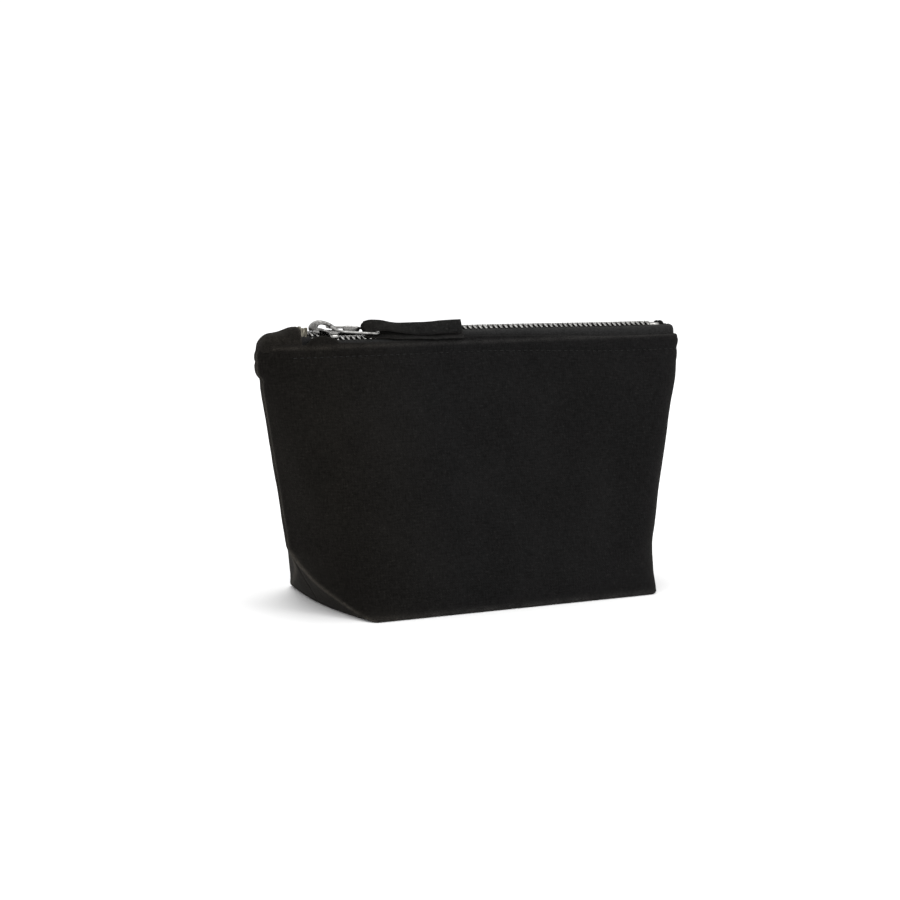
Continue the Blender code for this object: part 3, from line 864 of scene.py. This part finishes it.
def build_teeth(side, shift):
    """One row of teeth. shift moves it along the zip, since the two rows mesh half a pitch apart."""
    tooth, faces = tooth_part()
    parts, weights = [], []
    for i in range(TOOTH_COUNT):
        x = FIRST_TOOTH_X + i * TOOTH_PITCH + shift
        points = tooth.copy()
        jitter = 0.04 * MM * math.sin(i * 2.4 + (side == "back"))    # not every tooth sits evenly
        points[:, 0] += x + jitter
        points[:, 2] += TOOTH_TOP + CHAIN_SLOPE * points[:, 1] + float(chain_rise(x))
        points[:, 1] -= float(spread(x))
        parts.append((mirror_back(points, side), faces))
        weights += [float(opening_weight(x, CANVAS_TOP))] * len(points)
    piece = join_pieces(f"{side}_zip_teeth", parts, nickel, None)
    follow_wall(piece, side, weights)
    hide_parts(f"{side}_teeth")


TAPE_ENDS = (-90.5 * MM, 98.4 * MM)
TAPE_FOOT = ((91.5, 97.5), (96, 108.4))  # the tape's lower edge rises at its right end
TAPE_WIDTH = 16 * MM
TAPE = 0.5 * MM                        # thickness
TAPE_ROWS, TAPE_COLUMNS = 26, 200


def build_tape(side):
    """The woven tape: a beaded edge under the teeth, then out and down behind the hem."""
    hem_face = HEM_OFFSET + 0.3 * MM
    xs = np.linspace(*TAPE_ENDS, TAPE_COLUMNS)
    bottom = profile(TAPE_FOOT, xs)
    outer = np.empty((TAPE_ROWS, TAPE_COLUMNS, 3))
    for c, x in enumerate(xs):
        aside, rise = float(spread(x)), float(chain_rise(x))
        line = curve_through([
            (-1.2 * MM - aside * 0.9, TOOTH_TOP - 1.46 * MM + rise),
            (-3.1 * MM - aside * 0.5, TOOTH_TOP - 1.80 * MM + rise),
            (-4.2 * MM - aside * 0.3, TOOTH_TOP - 2.30 * MM + rise),
            (-5.0 * MM, TOOTH_TOP - 3.5 * MM + 0.8 * rise),
            (-corner_y(CANVAS_TOP) + hem_face, CANVAS_TOP - 0.6 * MM),
            (-corner_y(bottom[c]) + hem_face, bottom[c]),
        ], TAPE_ROWS)
        outer[:, c] = at_x(line, x)
    ripple = 0.12 * MM * noise_at(outer * np.array((1, 1, 0.4)), 6 * MM, 12 if side == "front" else 15)
    outer[..., 2] += ripple * smooth(109 * MM, 110.5 * MM, outer[..., 2])
    down = np.broadcast_to(np.linspace(0, TAPE_WIDTH, TAPE_ROWS)[:, None], outer.shape[:2])
    cloth = np.dstack([outer[..., 0], down])
    piece = thick_sheet(f"{side}_zip_tape", outer, cloth, TAPE, zip_cloth, side)
    weights = opening_weight(outer[..., 0], outer[..., 2]).ravel()
    follow_wall(piece, side, np.concatenate([weights, weights]))
    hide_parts(f"{side}_tape")


CLIP_STRIPS = (-1.0 * MM, 0.95 * MM)   # the two strips of a top stop, either side of its middle
CLIP_LEVELS = ((111.4, 0.8), (111.7, 1.0), (114.5, 1.0), (116.9, 1.0), (117.2, 0.8))   # height in mm, scale
CLIP_ASIDE = 3.3 * MM                  # from the zip's middle line to the tape's upright edge
CLIP_LEAN = 0.04                       # how far a strip leans to the middle line as it rises


def build_top_clip(side):
    """Two strips pinched over the upright edge of a tape above the slider, joined by a web."""
    low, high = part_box(f"{side}_top_stop")
    middle = (low[0] + high[0]) / 2 - 0.1 * MM

    def upright(bar, x, z, lean=0.0):
        return at_z(bar + (x, lean - CLIP_ASIDE), z * MM)

    parts = []
    for offset in CLIP_STRIPS:
        rings = []
        for z, scale in CLIP_LEVELS:
            bar = rounded_bar(0.68 * MM * scale, 0.62 * MM * scale, 3.0, 12)
            rings.append(upright(bar, middle + offset, z, CLIP_LEAN * (z - CLIP_LEVELS[2][0]) * MM))
        parts.append(loft(rings))
    web = rounded_bar(1.3 * MM, 0.3 * MM, 4.0, 12)
    parts.append(loft([upright(web, middle, z) for z in (111.6, 114.3, 117.0)]))
    parts = [(mirror_back(points, side), faces) for points, faces in parts]
    piece = join_pieces(f"{side}_top_clip", parts, brass, "root")
    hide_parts(f"{side}_top_stop")


# half of the bottom stop's outline across the zip, in mm, with a groove along its top
BOTTOM_STOP_HALF = (
    (0.0, 113.8), (0.4, 113.85), (0.7, 114.35), (1.7, 114.35), (2.5, 114.1), (2.8, 113.5), (2.8, 110.8),
    (2.6, 110.0), (1.0, 110.0), (0.0, 110.0),
)
BOTTOM_STOP_CLEAR = 3.7 * MM           # room for the last teeth


def build_bottom_stop():
    """A block over both rows of teeth at the closed end."""
    low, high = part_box("bottom_stop")
    mirrored = [(-y, z) for y, z in BOTTOM_STOP_HALF[-2:0:-1]]
    outline = np.array([*BOTTOM_STOP_HALF, *mirrored]) * MM
    middle = outline.mean(axis=0)
    rings = []
    for t, shrink in ((0, 0.88), (0.03, 0.98), (0.06, 1.0), (0.94, 1.0), (0.97, 0.98), (1, 0.88)):
        x = mix(low[0] + BOTTOM_STOP_CLEAR, high[0], t)
        rings.append(at_x(middle + (outline - middle) * shrink, x))
    piece = join_pieces("zip_bottom_stop", [loft(rings)], nickel, "root")
    round_edges(piece, 0.2 * MM)
    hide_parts("bottom_stop")


# one turn of the bar tack, in mm: along from the turn's start, across the zip, height, share of its own lift
TACK_TURN = ((0.9, -2.3, 111.7, 0), (0, -1.5, 114.1, 1), (-0.3, 0, 114.6, 1), (0, 1.5, 114.2, 1),
             (0.9, 2.3, 111.7, 0))
TACK_START, TACK_STEP, TACK_TURNS = 92.5, 0.55, 5


def build_bar_tack():
    """Black thread wound over the ends of the two tapes, just past the bottom stop."""
    wire = rounded_bar(0.30 * MM, 0.30 * MM, 2.0, 8)
    parts = []
    for i in range(TACK_TURNS):
        start = TACK_START + TACK_STEP * i
        lift = 0.2 * math.sin(i * 2.1)
        turn = np.array([(start + x, y, z + lift * share) for x, y, z, share in TACK_TURN])
        parts.append(loft(sweep(curve_through(turn * MM, 18), lambda t: wire, (1, 0, 0))))
    join_pieces("zip_bar_tack", parts, tack_thread, "root")


# the slider's two plates, in mm: distance from the open end, half width
TOP_PLATE = (
    (0.0, 0.9), (0.6, 2.4), (1.6, 3.8), (2.9, 4.7), (4.4, 5.2), (6.0, 5.3), (7.4, 5.0), (8.6, 4.6),
    (10.4, 4.4), (11.3, 4.1), (11.8, 3.2),
)
LOWER_PLATE = ((0.0, 0.8), (0.9, 2.6), (2.2, 3.8), (4.5, 4.1), (9.8, 3.9), (11.3, 3.0))
LOWER_PLATE_HEIGHT = 109.95 * MM
FLANGE_FOOT = 112.3 * MM               # how low the top plate's edges turn down at the narrow end
PLATE_WALL = 0.7 * MM
NOSE_LIFT = 1.3 * MM
# the arch over the top plate, from the open end: distance, height above the plate, half thickness
BRIDGE_PATH = (
    (1.6, 0.5, 1.7), (1.5, 1.2, 1.9), (2.1, 2.2, 1.6), (3.3, 3.2, 1.15), (4.9, 3.45, 0.9), (7.3, 2.95, 0.85),
    (9.5, 2.0, 0.8), (11.0, 0.9, 0.75), (11.2, -0.2, 0.7),
)


def nose_up(points, left):
    """The slider's open end rides up on the parted teeth."""
    points = np.array(points, float)
    points[..., 2] += NOSE_LIFT * (1 - smooth(left + 2.5 * MM, left + 8.0 * MM, points[..., 0]))
    return points


def slider_shell(left, top):
    """The top plate, with its edges turned down round the joined teeth at the narrow end."""
    rings = []
    for x, w in curve_through(TOP_PLATE, 40) * MM:
        low = float(mix(top - 0.75 * MM, FLANGE_FOOT, smooth(6.2 * MM, 7.8 * MM, x)))
        deep = top - low
        crown = 0.3 * MM * math.sin(math.pi * min(1, x / (TOP_PLATE[-1][0] * MM)))
        inside = max(w - PLATE_WALL, 0.3 * MM)
        ceiling = top - PLATE_WALL
        outer = [(w - 0.30 * MM, low), (w, low + 0.2 * deep), (w, low + 0.38 * deep),
                 (w - 0.28 * MM, low + 0.5 * deep), (w + 0.02 * MM, low + 0.64 * deep),
                 (w - 0.05 * MM, top - 0.15 * deep), (w - 0.7 * MM, top + 0.5 * crown),
                 (w * 0.4, top + crown)]
        inner = [(w * 0.4, ceiling), (max(inside - 0.4 * MM, 0.2 * MM), ceiling),
                 (inside, min(low + 0.2 * MM, ceiling)), (inside, low)]
        ring = outer + [(-y, z) for y, z in outer[::-1]] + [(-y, z) for y, z in inner[::-1]] + inner
        rings.append(at_x(ring, left + x))
    points, faces = loft(rings)
    return nose_up(points, left), faces


def build_slider():
    """Two plates joined by a post at the open end."""
    left, top = body_low[0], body_high[2]
    under = loft([at_x(rounded_bar(float(w), 0.45 * MM) + (0, LOWER_PLATE_HEIGHT), left + x)
                  for x, w in curve_through(LOWER_PLATE, 22) * MM])
    bar = rounded_bar(2.3 * MM, 0.9 * MM, 2.2, 12) + (left + 3.4 * MM, 0)
    post = loft([at_z(bar, z) for z in np.linspace(109.9 * MM, top + 0.6 * MM, 4)])
    parts = [slider_shell(left, top), under, post]
    piece = join_pieces("zip_slider", parts, nickel, "slider")
    round_edges(piece, 0.1 * MM, 40)
    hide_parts("slider_body")


def build_bridge():
    """The arch over the slider that the pull hangs on."""
    along, height, thick = curve_through(BRIDGE_PATH, 56).T * MM
    centres = np.column_stack([body_low[0] + along, 0 * along, body_high[2] + height])
    steps = np.linspace(0, 1, len(centres))
    rings = sweep(centres, lambda t: rounded_bar(1.45 * MM, float(np.interp(t, steps, thick)), 2.8))
    piece = join_pieces("slider_pull_bridge", [loft(rings)], nickel, "slider")
    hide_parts("slider_bridge")


# half of the ring's outline seen from above, in mm from its near end
RING_HALF = ((0.0, 0.0), (0.0, 1.6), (0.7, 2.7), (3.4, 3.3), (9.0, 3.5), (18.5, 3.5), (21.0, 3.1),
             (22.0, 1.8), (22.0, 0.0))
RING_TILT = math.radians(13)           # about its long axis
RING_NEAR, RING_FAR = 116.1 * MM, 114.4 * MM   # the height of its wire at each end
RING_INSET = 0.6 * MM                  # the wire's middle lies this far inside the ring's ends
RING_CAUGHT = 0.7 * MM                 # how far the bridge holds the near end up
LUG_SPAN = (0.36, 0.70)                # the ring's thicker stretch, as shares of its length


def build_ring():
    """A flattened wire loop that lies along the zip, its near end caught under the bridge."""
    near, far = ring_low[0] + RING_INSET, ring_high[0] - RING_INSET
    loop = []
    for x, y in [*RING_HALF, *((x, -y) for x, y in RING_HALF[-2:0:-1])]:
        t = x / RING_HALF[-1][0]
        caught = RING_CAUGHT * (1 - smooth(0.0, 0.16, t))
        tilted = y * MM * math.sin(RING_TILT) * smooth(0, 0.25, t)
        height = mix(RING_NEAR, RING_FAR, t) + caught + tilted
        loop.append((mix(near, far, t), y * MM * math.cos(RING_TILT), height))
    wire = rounded_bar(0.55 * MM, 0.68 * MM, 2.4, 12)
    path = curve_through(loop, 96, closed=True)
    hoop = loft(sweep(path, lambda t: wire, (0, 0, 1), closed=True), closed=True)

    def lug_section(t):
        return rounded_bar(0.42 * MM, 1.3 * MM * (1 - 0.4 * abs(2 * t - 1) ** 6), 3.0, 12)

    path = [(mix(near, far, t), 2.9 * MM, mix(RING_NEAR, RING_FAR, t) + 0.35 * MM)
            for t in np.linspace(*LUG_SPAN, 8)]
    lug = loft(sweep(path, lug_section))
    piece = join_pieces("zip_pull_ring", [hoop, lug], nickel, "pull")
    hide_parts("pull_ring")


TAB_WIDTH = 8.0 * MM
TAB_CLOTH = 0.55 * MM
TAB_TILT = math.radians(46)            # a tilt share of 1, towards the front
TAB_SKEW = 1.3 * MM                    # the cut end isn't square
# each layer of the tab towards the loop: x, y, z of its middle in mm, tilt and width as shares
UPPER_LAYER = (
    (-18, -4.2, 115.7, 0.76, 1.0), (-26, -4.0, 115.3, 0.74, 1.0), (-33, -2.6, 115.4, 0.66, 0.98),
    (-39, -1.2, 116.0, 0.56, 0.92), (-44, -0.6, 116.8, 0.62, 0.92), (-49, -0.5, 116.9, 0.74, 0.90),
    (-52, -0.4, 116.4, 0.78, 0.84),
)
LOWER_LAYER = (
    (-18, -6.4, 112.45, 0.45, 0.75), (-26, -6.0, 112.6, 0.48, 0.76), (-33, -4.9, 112.8, 0.55, 0.78),
    (-39, -3.2, 112.9, 0.65, 0.80), (-44, -1.8, 113.3, 0.70, 0.78), (-49, -0.5, 113.2, 0.60, 0.74),
    (-52, -0.3, 113.7, 0.66, 0.72),
)
TAB_COLUMNS = 15
LOOP_STEPS = 12                        # of the half turn that joins the two layers


def layer_stations(layer, sign, end_x):
    """Middle, tilt, width and outward normal along a layer. sign is 1 for the upper layer."""
    cut_end = np.array(layer[0])
    cut_end[0] = end_x
    cut_end[2] += max(0.0, 0.15 * sign)
    stations = []
    for x, y, z, tilt, width in curve_through([cut_end, *layer], 56):
        angle = tilt * TAB_TILT
        normal = np.array((0, -math.sin(angle), math.cos(angle))) * sign
        stations.append((np.array((x, y, z)) * MM, angle, width, normal))
    return stations


def build_tab():
    """A strip of canvas folded loosely round the ring's far bar, its two layers lying on each other."""
    end_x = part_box("pull_tab")[1][0] / MM - 1.0
    strip = layer_stations(LOWER_LAYER, -1, end_x)
    top, bottom = np.array(UPPER_LAYER[-1][:3]), np.array(LOWER_LAYER[-1][:3])
    middle, arm = (top + bottom) / 2, (top - bottom) / 2
    for step in range(1, LOOP_STEPS):
        turn = math.radians(-90 - 180 * step / LOOP_STEPS)
        normal = np.array((math.cos(turn), 0, math.sin(turn)))
        place = middle + arm * math.sin(turn) + np.array((1.1 * math.cos(turn), 0, 0))
        strip.append((place * MM, 0.70 * TAB_TILT, 0.73, normal))
    strip += layer_stations(UPPER_LAYER, 1, end_x)[::-1]
    shares = np.linspace(1, -1, TAB_COLUMNS)[:, None]
    outer, cloth = [], []
    travelled = 0.0
    for i, (centre, angle, width, normal) in enumerate(strip):
        if i:
            travelled += float(np.linalg.norm(centre - strip[i - 1][0]))
        across = np.array((0, math.cos(angle), math.sin(angle))) * width * TAB_WIDTH / 2
        row = centre + across * shares - normal * 0.22 * MM * shares ** 2
        row[:, 0] += TAB_SKEW * shares[:, 0] * smooth(-28 * MM, -9 * MM, centre[0])
        outer.append(row)
        cloth.append(np.column_stack([shares * TAB_WIDTH / 2, np.full(len(shares), travelled)]))
    outer, cloth = np.array(outer), np.array(cloth)
    wave = noise_at(outer, 9 * MM, 21) * 0.25 * MM + noise_at(outer, 3.5 * MM, 22) * 0.08 * MM
    outer += grid_normals(outer) * wave[..., None]
    piece = thick_sheet("pull_tab_canvas", outer, cloth, TAB_CLOTH, tab_canvas)
    edge = np.abs(cloth[..., 0]) / (TAB_WIDTH / 2)
    frayed = 0.4 * smooth(0.86, 1.0, edge) * (0.8 + 0.4 * noise_at(outer, 4 * MM, 23))
    wear = (0.06 + 0.22 * noise_at(outer, 1.3 * MM, 24) + frayed).ravel()
    set_wear(piece, np.concatenate([wear, wear * 0.3]))
    hinge_x = ring_high[0] - RING_INSET
    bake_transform(piece, "pull", "tab", (hinge_x - 4 * MM, 0, 0), (hinge_x + 4 * MM, 0, 0))
    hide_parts("pull_tab")


# the patch over the zip's end, from the seam inward: distance from its left end, crest height, half width
PATCH_STATIONS = (
    (0.0, 108.4, 1.2), (0.5, 110.2, 3.0), (1.6, 112.4, 4.8), (4.2, 114.5, 5.9), (8.0, 115.2, 6.4),
    (10.6, 115.7, 6.7), (13.6, 116.9, 6.9), (15.6, 117.3, 6.9), (16.9, 117.3, 6.9),
)
PATCH_FOOT = 107.6 * MM
PATCH_REACH = 7 * MM                   # turns an angle round the patch into a length of cloth
PATCH_ROWS = 33


def build_end_patch():
    """The folded canvas patch over the cut end of the zip, beside the left seam."""
    x_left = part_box("zip_end_tab")[0][0] + 0.1 * MM
    along, crest, half = curve_through(PATCH_STATIONS, 56).T * MM
    angle = np.linspace(0, math.pi, PATCH_ROWS)[:, None]
    turned = np.copysign(np.abs(np.cos(angle)) ** 0.72, np.cos(angle))
    lifted = np.abs(np.sin(angle)) ** 0.66
    x = np.broadcast_to(along, (PATCH_ROWS, len(along)))
    outer = np.dstack([x_left + x, turned * half, mix(PATCH_FOOT, crest, lifted)])
    cloth = np.dstack([x, np.broadcast_to(angle * PATCH_REACH, x.shape)])
    wave = 0.35 * MM * noise_at(outer, 8 * MM, 31) + 0.10 * MM * noise_at(outer, 3 * MM, 32)
    wave *= smooth(0, 3 * MM, along)
    outer += grid_normals(outer) * wave[..., None]
    piece = thick_sheet("zip_end_patch", outer, cloth, CLOTH, canvas)
    wear = 0.14 + 0.14 * noise_at(outer, 5 * MM, 33) + 0.1 * noise_at(outer, 1.4 * MM, 34)
    wear[:, -2:] += 0.3                # the patch's edge across the zip
    set_wear(piece, np.concatenate([wear.ravel()] * 2))
    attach(piece, "root")
    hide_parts("zip_end_tab")


# ---------------------------------------------------------------- seam bindings inside the bag
def build_bindings():
    """The seams' bound edges have the CAD's shapes, with rounded edges and the look of cotton tape."""
    for seam in ("left_seam", "right_seam", "left_corner", "right_corner", "bottom_seam"):
        node = f"{seam}_binding"
        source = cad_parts[node]
        copy = bpy.data.objects.new(f"{node}_tape", source.data.copy())
        copy.data.transform(source.matrix_world)
        bpy.context.scene.collection.objects.link(copy)
        copy.data.materials.clear()
        copy.data.materials.append(binding)
        set_uv(copy, [(v.co.x + v.co.y, v.co.z) for v in copy.data.vertices])
        add_modifier(copy, "BEVEL", width=0.7 * MM, segments=3)
        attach(copy, "root")
        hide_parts(node)


# ---------------------------------------------------------------- camera, light and floor
WORLD_LIGHT = 1.1
LIGHT_AIM = Vector((0, 0, 50 * MM))
AZIMUTH, ELEVATION, ROLL = math.radians(-28.04), math.radians(8.08), math.radians(0.635)
DISTANCE = 0.9431                      # from the point that the camera aims at
LENS, SENSOR = 87.3, 36.0
AIM_HEIGHT, AIM_RIGHT, AIM_UP = 55 * MM, -10.1 * MM, 6.5 * MM


def build_camera():
    """A long lens that looks slightly down at the front from the left."""
    back = Vector((math.sin(AZIMUTH) * math.cos(ELEVATION), -math.cos(AZIMUTH) * math.cos(ELEVATION),
                   math.sin(ELEVATION)))
    right = (-back).cross(Vector((0, 0, 1))).normalized()
    up = right.cross(-back)
    right, up = (math.cos(ROLL) * right + math.sin(ROLL) * up, math.cos(ROLL) * up - math.sin(ROLL) * right)
    target = Vector((0, 0, AIM_HEIGHT)) + right * AIM_RIGHT + up * AIM_UP
    data = bpy.data.cameras.new("camera")
    data.lens, data.sensor_width = LENS, SENSOR
    data.clip_start, data.clip_end = 0.01, 50
    camera = bpy.data.objects.new("camera", data)
    turn = Matrix((right, up, back)).transposed().to_4x4()
    camera.matrix_world = Matrix.Translation(target + back * DISTANCE) @ turn
    bpy.context.scene.collection.objects.link(camera)
    bpy.context.scene.camera = camera


def add_light(name, place, size, power):
    """A soft round light that faces the bag."""
    data = bpy.data.lights.new(name, "AREA")
    data.shape = "DISK"
    data.size, data.energy = size, power
    light = bpy.data.objects.new(name, data)
    light.location = place
    light.rotation_euler = (LIGHT_AIM - Vector(place)).to_track_quat("-Z", "Y").to_euler()
    bpy.context.scene.collection.objects.link(light)


def build_studio():
    n = Nodes("pale_floor")
    place = n.add("ShaderNodeTexCoord", "Object")
    tone = n.blend(n.noise(place, 2.5, 2), grey(0.94), grey(0.96))
    floor_material = n.finish(Base_Color=tone, Roughness=0.9, Specular_IOR_Level=0.1)
    bm = bmesh.new()
    bmesh.ops.create_circle(bm, cap_ends=True, segments=96, radius=12)
    mesh = bpy.data.meshes.new("floor")
    bm.to_mesh(mesh)
    bm.free()
    mesh.materials.append(floor_material)
    floor = bpy.data.objects.new("floor", mesh)
    floor.location.z = -0.05 * MM
    bpy.context.scene.collection.objects.link(floor)
    world = bpy.data.worlds.new("studio")
    world.use_nodes = True
    world.node_tree.nodes["Background"].inputs["Color"].default_value = grey(1)
    world.node_tree.nodes["Background"].inputs["Strength"].default_value = WORLD_LIGHT
    bpy.context.scene.world = world
    add_light("key", (0.9, -1.2, 1.3), size=1.0, power=10)
    add_light("top", (0.3, 0.5, 1.9), size=1.4, power=10)
    bpy.context.scene.view_settings.view_transform = "Standard"
    bpy.context.scene.view_settings.look = "None"


# ---------------------------------------------------------------- assembly
build_camera()
build_studio()
build_canvas("front", 1)
build_canvas("back", 2)
for side, shift in (("front", 0.0), ("back", TOOTH_PITCH / 2)):
    build_tape(side)
    build_teeth(side, shift)
for side in ("front", "back"):
    build_top_clip(side)
build_bottom_stop()
build_bar_tack()
build_slider()
build_bridge()
build_ring()
build_tab()
build_end_patch()
build_bindings()

bpy.context.view_layer.update()
